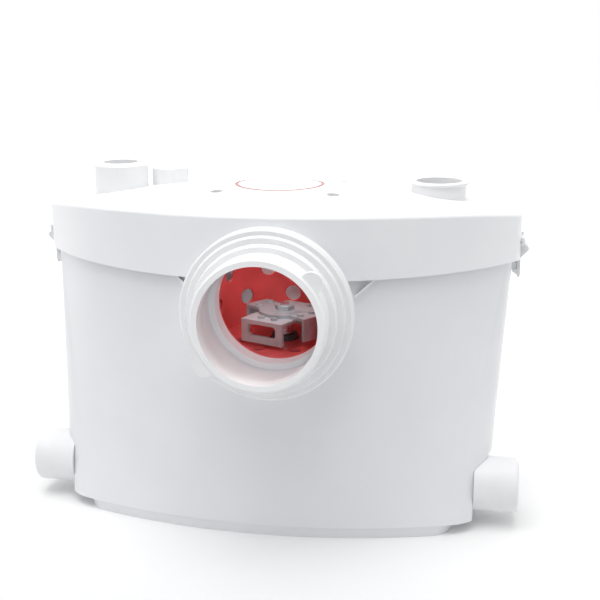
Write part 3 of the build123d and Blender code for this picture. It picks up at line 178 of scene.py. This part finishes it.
class Value:
    """A value on a surface: it wraps one node socket, and arithmetic on it adds Math nodes."""

    def __init__(self, tree, socket):
        self.tree = tree
        self.socket = socket

    def make(self, kind, settings=None, sockets=None, out=0):
        """Adds a node of a kind: its settings are set first, then its sockets are set or linked."""
        node = self.tree.nodes.new(kind)
        for name, setting in (settings or {}).items():
            setattr(node, name, setting)
        for name, value in (sockets or {}).items():
            if isinstance(value, Value):
                self.tree.links.new(value.socket, node.inputs[name])
            else:
                node.inputs[name].default_value = value
        return Value(self.tree, node.outputs[out])

    def math(self, operation, other=0.0, third=0.0):
        """One Math node with this value first."""
        return self.make("ShaderNodeMath", {"operation": operation}, {0: self, 1: other, 2: third})

    def __add__(self, other):
        return self.math("ADD", other)

    def __mul__(self, other):
        return self.math("MULTIPLY", other)

    def __sub__(self, other):
        return self.math("SUBTRACT", other)

    def __rsub__(self, other):
        return self.math("MULTIPLY_ADD", -1.0, other)

    def part(self, name):
        """One coordinate of a place: X, Y or Z."""
        return self.make("ShaderNodeSeparateXYZ", sockets={0: self}, out=name)

    def stretched(self, factors):
        """This place with each axis multiplied by a factor of its own."""
        return self.make("ShaderNodeVectorMath", {"operation": "MULTIPLY"}, {0: self, 1: factors})

    def noise(self, scale, detail=2.0, stretch=(1.0, 1.0, 1.0)):
        """Noise over this place, from 0 to 1; a stretch under 1 draws it out along that axis."""
        return self.make(
            "ShaderNodeTexNoise",
            sockets={"Vector": self.stretched(stretch), "Scale": scale, "Detail": detail},
        )

    def between(self, low, high):
        """0 below low, 1 above high, smooth in between."""
        return self.make(
            "ShaderNodeMapRange",
            {"interpolation_type": "SMOOTHSTEP"},
            {0: self, 1: low, 2: high},
        )

    def blend(self, first, second):
        """The first colour where this value is 0, the second where it is 1."""
        return self.make(
            "ShaderNodeMix",
            {"data_type": "RGBA"},
            {0: self, MIX_FIRST: first, MIX_SECOND: second},
            out=MIX_COLOR,
        )

    def distance(self, point):
        """How far this place is from a point."""
        return self.make(
            "ShaderNodeVectorMath", {"operation": "DISTANCE"}, {0: self, 1: point}, out="Value"
        )

    def bump(self, depth, under=None):
        """A normal that follows this value as a height, over another one when it is given."""
        sockets = {"Height": self, "Strength": FULL_BUMP, "Distance": depth}
        if under:
            sockets["Normal"] = under
        return self.make("ShaderNodeBump", sockets=sockets)


def color(red, green, blue):
    """An opaque colour."""
    return (red, green, blue, 1.0)


def new_finish(name, **constants):
    """A material, its shader and its place value, with constants set on the shader's own sockets."""
    material = bpy.data.materials.new(name)
    material.use_nodes = True
    tree = material.node_tree
    shader = tree.nodes["Principled BSDF"]
    for key, value in constants.items():
        shader.inputs[key.replace("_", " ")].default_value = value
    place = Value(tree, tree.nodes.new("ShaderNodeTexCoord").outputs["Object"])
    return material, shader, place


def feed(shader, **values):
    """Links values into the shader's sockets."""
    for key, value in values.items():
        value.tree.links.new(value.socket, shader.inputs[key.replace("_", " ")])


def dress(material, names):
    """Gives CAD nodes a material in every slot."""
    for name in names:
        mesh = nodes[name].data
        mesh.materials.clear()
        mesh.materials.append(material)


# %% [markdown]
# The floor carries painted shade: it is grey in front of the object, where the photograph shows it a
# little darker than the ground behind. It fades to white under the object, and further back it glows
# with painted light, so it meets the backdrop without an edge and the shadow still shows. The places
# of both fades are measured from the middle of the object, in metres. The card is painted almost
# black, and the backdrop only glows.

# %% Floor, card and backdrop
PAINT_ROUGHNESS = 0.9
FLOOR_WHITE = color(0.98, 0.98, 0.98)
# The grey in front of the object is painted shade, and the floor's glow behind it is painted light.
FLOOR_PAINTED_SHADE = color(0.63, 0.635, 0.645)
PAINTED_SHADE_FADE = (-0.48, 0.18)
FLOOR_PAINTED_GLOW = color(0.3, 0.3, 0.3)
PAINTED_GLOW_FADE = (0.06, 0.36)
UNLIT = color(0.0, 0.0, 0.0)
CARD_GREY = color(0.06, 0.06, 0.06)
CARD_DARK = color(0.04, 0.04, 0.04)
CARD_PATCH_SCALE = 20.0
BACKDROP_WHITE = color(1.0, 1.0, 1.0)
FULL_GLOW = 1.0


def floor_fade(depth, start, end):
    """A fade along the floor between two places in metres, on a sheet that is one unit deep."""
    return depth.between(start / FLOOR_REACH, end / FLOOR_REACH)


def paint_floor():
    """Painted shade in front, white under the object, a painted glow behind it."""
    material, shader, place = new_finish(
        "floor_painted_shade_and_glow", Roughness=PAINT_ROUGHNESS, Emission_Strength=FULL_GLOW
    )
    depth = place.part("Y")
    feed(
        shader,
        Base_Color=floor_fade(depth, *PAINTED_SHADE_FADE).blend(FLOOR_PAINTED_SHADE, FLOOR_WHITE),
        Emission_Color=floor_fade(depth, *PAINTED_GLOW_FADE).blend(UNLIT, FLOOR_PAINTED_GLOW),
    )
    floor.data.materials.append(material)


def paint_card():
    """Nearly black paint in faint patches."""
    material, shader, place = new_finish("card_paint", Roughness=PAINT_ROUGHNESS)
    feed(shader, Base_Color=place.noise(CARD_PATCH_SCALE).blend(CARD_GREY, CARD_DARK))
    card.data.materials.append(material)


def light_backdrop():
    """An even white glow that reflects nothing."""
    material, _, _ = new_finish(
        "backdrop_light",
        Base_Color=UNLIT,
        Emission_Color=BACKDROP_WHITE,
        Emission_Strength=FULL_GLOW,
        Specular_IOR_Level=0.0,
    )
    backdrop.data.materials.append(material)


paint_floor()
paint_card()
light_backdrop()

# %% [markdown]
# The tank and the lid are injection moulded in white plastic. A moulded wall isn't flat like glass:
# it sinks a little over the ribs behind it, its skin carries the fine grain of the mould, and a few
# rubs have polished or dulled it. Three noises of very different sizes stand for the three, and a
# fourth one mottles the colour. The plastics differ by their two colours and their roughness.

# %% Moulded white plastic
MOULDED_IOR = 1.49
SKIN_GRAIN_SCALE = 1900.0
SKIN_GRAIN_DEPTH = 0.00003
GRAIN_ROUGHNESS = 0.05
SINK_SCALE = 9.0
SINK_DEPTH = 0.0011
MOTTLE_SCALE = 14.0
MOTTLE_DETAIL = 3.0
MOTTLE_SPAN = (0.3, 0.7)
RUB_SCALE = 60.0
RUB_DETAIL = 4.0
RUB_STRETCH = (1.0, 1.0, 0.25)
RUB_SPAN = (0.52, 0.72)
RUB_ROUGHNESS = 0.07

# Each row: the finish, its light and its shaded colour, its roughness and the nodes that wear it.
WHITE_PLASTICS = (
    ("lid_plastic", color(0.85, 0.855, 0.87), color(0.83, 0.835, 0.855), 0.26, ["lid"]),
    (
        "tank_plastic", color(0.8, 0.805, 0.825), color(0.78, 0.785, 0.805), 0.3,
        ["tank", "inlet_neck"],
    ),
    (
        "fitting_plastic", color(0.86, 0.865, 0.87), color(0.83, 0.835, 0.845), 0.3,
        ["top_inlet_cup", "discharge_connector", "vent_cap"],
    ),
    (
        "clip_plastic", color(0.84, 0.845, 0.855), color(0.8, 0.805, 0.815), 0.32,
        ["clip_left", "clip_right"],
    ),
    (
        "valve_plastic", color(0.74, 0.73, 0.7), color(0.68, 0.67, 0.64), 0.4,
        ["check_valve_body"],
    ),
    (
        "control_plastic", color(0.56, 0.57, 0.58), color(0.5, 0.51, 0.52), 0.45,
        ["control_box", "control_box_cover", "pressure_bell"],
    ),
)


def moulded_white(name, light, shade, roughness):
    """White moulded plastic: mottled colour, rubbed gloss, grain and sink in the surface."""
    material, shader, place = new_finish(name, IOR=MOULDED_IOR)
    mottle = place.noise(MOTTLE_SCALE, MOTTLE_DETAIL).between(*MOTTLE_SPAN)
    rubs = place.noise(RUB_SCALE, RUB_DETAIL, RUB_STRETCH).between(*RUB_SPAN)
    fine = place.noise(SKIN_GRAIN_SCALE, 1.0)
    sink = place.noise(SINK_SCALE, 1.0).bump(SINK_DEPTH)
    feed(
        shader,
        Base_Color=mottle.blend(light, shade),
        Roughness=rubs * RUB_ROUGHNESS + fine * GRAIN_ROUGHNESS + roughness,
        Normal=fine.bump(SKIN_GRAIN_DEPTH, sink),
    )
    return material


for finish, light_color, shade_color, dullness, wearers in WHITE_PLASTICS:
    dress(moulded_white(finish, light_color, shade_color, dullness), wearers)
print("white plastics:", len(WHITE_PLASTICS))

# %% [markdown]
# The disc on the lid is bare here but for the ring round its edge: two thin red lines with a white
# gap. The lines are a function of the distance from the disc's middle, so they stay round and sharp
# at any size, which a painted picture would not.

# %% Badge disc
BADGE_IOR = 1.5
BADGE_COAT = 0.3
BADGE_COAT_ROUGHNESS = 0.08
BADGE_ROUGHNESS = 0.22
BADGE_WHITE = color(0.9, 0.9, 0.905)
BADGE_SHADE = color(0.88, 0.88, 0.885)
RING_RED = color(0.4, 0.02, 0.02)
RING_RADIUS = 0.0392
RING_GAP = 0.0016
OUTER_HALF_WIDTH = 0.0007
INNER_HALF_WIDTH = OUTER_HALF_WIDTH * 2 / 3
LINE_EDGE = 0.00012
FLAT = (1.0, 1.0, 0.0)


def ring_line(away, radius, half_width):
    """1 on a ring line of a width, 0 off it."""
    return 1.0 - (away - radius).math("ABSOLUTE").between(half_width, half_width + LINE_EDGE)


def badge_material():
    """White gloss disc with a double red ring."""
    material, shader, place = new_finish(
        "badge_plastic",
        IOR=BADGE_IOR,
        Coat_Weight=BADGE_COAT,
        Coat_Roughness=BADGE_COAT_ROUGHNESS,
    )
    low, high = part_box("badge_disc")
    middle = (low + high) / 2
    away = place.stretched(FLAT).distance((middle.x, middle.y, 0.0))
    outer = ring_line(away, RING_RADIUS, OUTER_HALF_WIDTH)
    inner = ring_line(away, RING_RADIUS - RING_GAP, INNER_HALF_WIDTH)
    mask = outer.math("MAXIMUM", inner)
    white = place.noise(MOTTLE_SCALE).blend(BADGE_WHITE, BADGE_SHADE)
    fine = place.noise(SKIN_GRAIN_SCALE, 1.0)
    feed(
        shader,
        Base_Color=mask.blend(white, RING_RED),
        Roughness=fine * GRAIN_ROUGHNESS + BADGE_ROUGHNESS,
        Normal=fine.bump(SKIN_GRAIN_DEPTH / 2),
    )
    return material


dress(badge_material(), ["badge_disc"])

# %% [markdown]
# The boot and the side sleeves are white rubber. Rubber is duller than plastic, picks up dust, and
# keeps the matt bloom of its mould, so its grain is coarser and its roughness varies in broad soft
# patches. The dark seals, the flaps and the hose are the same recipe with other colours.

# %% Rubber
RUBBER_IOR = 1.45
BLOOM_SCALE = 30.0
BLOOM_DETAIL = 4.0
BLOOM_SPAN = (0.35, 0.75)
BLOOM_ROUGHNESS = 0.12
RUBBER_GRAIN_SCALE = 1300.0
RUBBER_GRAIN_DEPTH = 0.00006
RUBBER_GRAIN_ROUGHNESS = 0.06

# Each row: the finish, its clean and its dusty colour, its roughness and the nodes that wear it.
RUBBERS = (
    (
        "boot_rubber", color(0.8, 0.805, 0.815), color(0.77, 0.775, 0.785), 0.36,
        ["inlet_boot"],
    ),
    (
        "sleeve_rubber", color(0.82, 0.825, 0.835), color(0.78, 0.785, 0.79), 0.38,
        ["side_inlet_left", "side_inlet_right"],
    ),
    (
        "seal_rubber", color(0.015, 0.015, 0.016), color(0.04, 0.04, 0.042), 0.5,
        ["lid_seal", "lower_shaft_seal", "upper_shaft_seal", "vibration_mounts"],
    ),
    (
        "valve_rubber", color(0.035, 0.035, 0.037), color(0.06, 0.06, 0.062), 0.5,
        ["check_valve_flap", "inlet_flap_left", "inlet_flap_right", "diaphragm"],
    ),
    (
        "pipe_rubber", color(0.012, 0.012, 0.012), color(0.035, 0.035, 0.035), 0.45,
        ["discharge_pipe"],
    ),
)


def rubber(name, clean, dusty, roughness):
    """Moulded rubber: dust in soft patches over a matt grain."""
    material, shader, place = new_finish(name, IOR=RUBBER_IOR)
    bloom = place.noise(BLOOM_SCALE, BLOOM_DETAIL).between(*BLOOM_SPAN)
    fine = place.noise(RUBBER_GRAIN_SCALE)
    feed(
        shader,
        Base_Color=bloom.blend(clean, dusty),
        Roughness=bloom * BLOOM_ROUGHNESS + fine * RUBBER_GRAIN_ROUGHNESS + roughness,
        Normal=fine.bump(RUBBER_GRAIN_DEPTH),
    )
    return material


for finish, clean_color, dusty_color, dullness, wearers in RUBBERS:
    dress(rubber(finish, clean_color, dusty_color, dullness), wearers)
print("rubbers:", len(RUBBERS))

# %% [markdown]
# The basket is red polypropylene. It is softer and waxier than the white walls: light enters it a
# little, and its faces have fine rings from the turned mould. The rings are a wave of the height,
# added to the grain before the bump.

# %% Red basket
BASKET_IOR = 1.48
BASKET_WAX = 0.15
BASKET_WAX_DEPTH = 0.003
BASKET_ROUGHNESS = 0.34
BASKET_RED = color(0.72, 0.1, 0.1)
BASKET_DEEP = color(0.64, 0.085, 0.085)
BASKET_PATCH_SCALE = 40.0
BASKET_PATCH_DETAIL = 3.0
BASKET_PATCH_SPAN = (0.3, 0.7)
BASKET_PATCH_ROUGHNESS = 0.1
BASKET_GRAIN_SCALE = 1500.0
BASKET_GRAIN_ROUGHNESS = 0.06
BASKET_GRAIN_DEPTH = 0.00004
CORE_RING_PITCH = 0.0016
CORE_RING_HEIGHT = 0.25


def basket_material():
    """Waxy red plastic with faint rings from the mould."""
    material, shader, place = new_finish(
        "basket_plastic",
        IOR=BASKET_IOR,
        Subsurface_Weight=BASKET_WAX,
        Subsurface_Scale=BASKET_WAX_DEPTH,
    )
    patch = place.noise(BASKET_PATCH_SCALE, BASKET_PATCH_DETAIL).between(*BASKET_PATCH_SPAN)
    rings = (place.part("Z") * (2 * math.pi / CORE_RING_PITCH)).math("SINE")
    fine = place.noise(BASKET_GRAIN_SCALE, 1.0)
    feed(
        shader,
        Base_Color=patch.blend(BASKET_RED, BASKET_DEEP),
        Roughness=patch * BASKET_PATCH_ROUGHNESS + fine * BASKET_GRAIN_ROUGHNESS + BASKET_ROUGHNESS,
        Normal=(fine + rings * CORE_RING_HEIGHT).bump(BASKET_GRAIN_DEPTH),
    )
    return material


dress(basket_material(), ["basket"])

# %% [markdown]
# Steel parts differ by how they were made. The cutter is stamped and brushed along its length, the
# shaft and the bearings are ground round and round, the pins are drawn wire. All are a noise drawn
# out along the working direction, which feeds both the roughness and the bump. The cutter stands in
# the red light of the basket, where bare steel would look red too: its colour is a dull bluish grey
# painted against that red light to take the red back out, and it mirrors little.

# %% Steel and copper
STEEL = color(0.62, 0.63, 0.64)
DULL_STEEL = color(0.46, 0.47, 0.48)
# The cutter's three bluish greys are colour painted against the basket's red light.
STEEL_BLUED_AGAINST_RED = color(0.5, 0.58, 0.6)
DULL_STEEL_BLUED_AGAINST_RED = color(0.4, 0.47, 0.49)
DARK_STEEL_BLUED_AGAINST_RED = color(0.28, 0.34, 0.36)
SCREW_GREY = color(0.5, 0.5, 0.5)
SCREW_DARK = color(0.34, 0.34, 0.34)
SHEET_GREY = color(0.3, 0.31, 0.33)
SHEET_DARK = color(0.2, 0.2, 0.21)
COPPER = color(0.6, 0.26, 0.12)
DARK_COPPER = color(0.4, 0.15, 0.07)
BARE = 1.0
COATED = 0.2
ALONG_X = (0.05, 1.0, 1.0)
ALONG_Y = (1.0, 0.05, 1.0)
ROUND = (0.05, 0.05, 1.0)
ALL_WAYS = (1.0, 1.0, 1.0)
LAYERED = (0.02, 0.02, 1.0)
WOUND = (0.1, 0.1, 1.0)
BRUSH_SCALE = 900.0
LAYER_SCALE = 2000.0
WIRE_SCALE = 1400.0
LINE_DETAIL = 3.0
LINE_ROUGHNESS = 0.22
LINE_DEPTH = 0.00005
STAIN_SCALE = 70.0
STAIN_DETAIL = 4.0
STAIN_SPAN = (0.45, 0.75)
STAIN_ROUGHNESS = 0.1

# Each row: the finish, its colour and its stained colour, its roughness, the stretch and the scale
# of its lines, how metallic it is, and the nodes that wear it.
METALS = (
    (
        "cutter_plate_steel", STEEL_BLUED_AGAINST_RED, DULL_STEEL_BLUED_AGAINST_RED, 0.42, ALONG_X, BRUSH_SCALE, COATED,
        ["cutter_plate"],
    ),
    (
        "cutter_steel", DULL_STEEL_BLUED_AGAINST_RED, DARK_STEEL_BLUED_AGAINST_RED, 0.42, ALONG_Y, BRUSH_SCALE, COATED,
        ["cutter_bar", "cutter_rivets", "cutter_nut"],
    ),
    (
        "shaft_steel", STEEL, DULL_STEEL, 0.18, ROUND, BRUSH_SCALE, BARE,
        ["shaft", "lower_bearing", "upper_bearing"],
    ),
    (
        "pin_steel", STEEL, DULL_STEEL, 0.22, ALONG_Y, BRUSH_SCALE, BARE,
        ["clip_pin_left", "clip_pin_right", "flap_pin_left", "flap_pin_right", "check_valve_pin"],
    ),
    (
        "screw_steel", SCREW_GREY, SCREW_DARK, 0.35, ALL_WAYS, BRUSH_SCALE, BARE,
        ["lid_screws", "cover_screws", "pump_screws"],
    ),
    (
        "lamination_steel", SHEET_GREY, SHEET_DARK, 0.4, LAYERED, LAYER_SCALE, BARE,
        ["rotor", "stator"],
    ),
    (
        "winding_copper", COPPER, DARK_COPPER, 0.25, WOUND, WIRE_SCALE, BARE,
        ["windings"],
    ),
)


def metal(name, tint, dark, roughness, stretch, scale, metallic):
    """Worked metal: fine lines along a direction, with darker stains."""
    material, shader, place = new_finish(name, Metallic=metallic)
    lines = place.noise(scale, LINE_DETAIL, stretch)
    stain = place.noise(STAIN_SCALE, STAIN_DETAIL).between(*STAIN_SPAN)
    feed(
        shader,
        Base_Color=stain.blend(tint, dark),
        Roughness=lines * LINE_ROUGHNESS + stain * STAIN_ROUGHNESS + roughness,
        Normal=lines.bump(LINE_DEPTH),
    )
    return material


for *metal_values, wearers in METALS:
    dress(metal(*metal_values), wearers)
print("metals:", len(METALS))

# %% [markdown]
# The pieces inside the tank are moulded plastics, most of them nearly black. Their colours differ,
# but they share one recipe: a coarse grain, and a thin film of dust and lime that greys them in
# patches.

# %% Plastics inside the tank
INNER_IOR = 1.5
FILM_SCALE = 35.0
FILM_DETAIL = 5.0
FILM_SPAN = (0.42, 0.8)
FILM_ROUGHNESS = 0.18
COARSE_GRAIN_SCALE = 1100.0
COARSE_GRAIN_ROUGHNESS = 0.06
COARSE_GRAIN_DEPTH = 0.00007

# Each row: the finish, its own colour and that of its film, its roughness and the nodes that wear it.
INNER_PLASTICS = (
    (
        "motor_plastic", color(0.035, 0.037, 0.042), color(0.07, 0.07, 0.075), 0.4,
        ["motor_housing", "motor_cover"],
    ),
    (
        "pump_plastic", color(0.09, 0.095, 0.1), color(0.15, 0.15, 0.15), 0.42,
        ["pump_casing", "suction_plate", "impeller"],
    ),
    (
        "switch_plastic", color(0.015, 0.015, 0.016), color(0.04, 0.04, 0.042), 0.38,
        ["pressure_switch", "switch_plunger", "cable_gland"],
    ),
    (
        "filter_carbon", color(0.006, 0.006, 0.006), color(0.02, 0.02, 0.02), 0.8,
        ["carbon_filter"],
    ),
    (
        "capacitor_plastic", color(0.7, 0.71, 0.71), color(0.6, 0.61, 0.61), 0.3,
        ["capacitor"],
    ),
    (
        "terminal_plastic", color(0.7, 0.66, 0.52), color(0.6, 0.56, 0.44), 0.45,
        ["terminal_block"],
    ),
)


def inner_plastic(name, base, film, roughness):
    """Moulded plastic with a coarse grain and a thin film in patches."""
    material, shader, place = new_finish(name, IOR=INNER_IOR)
    patch = place.noise(FILM_SCALE, FILM_DETAIL).between(*FILM_SPAN)
    fine = place.noise(COARSE_GRAIN_SCALE)
    feed(
        shader,
        Base_Color=patch.blend(base, film),
        Roughness=patch * FILM_ROUGHNESS + fine * COARSE_GRAIN_ROUGHNESS + roughness,
        Normal=fine.bump(COARSE_GRAIN_DEPTH),
    )
    return material


for finish, base_color, film_color, dullness, wearers in INNER_PLASTICS:
    dress(inner_plastic(finish, base_color, film_color, dullness), wearers)
print("inner plastics:", len(INNER_PLASTICS))

# %% [markdown]
# Last, every piece is checked for a finish.

# %% Close
bare = [name for name, node in nodes.items() if not node.data.materials]
print("nodes without a finish:", bare)
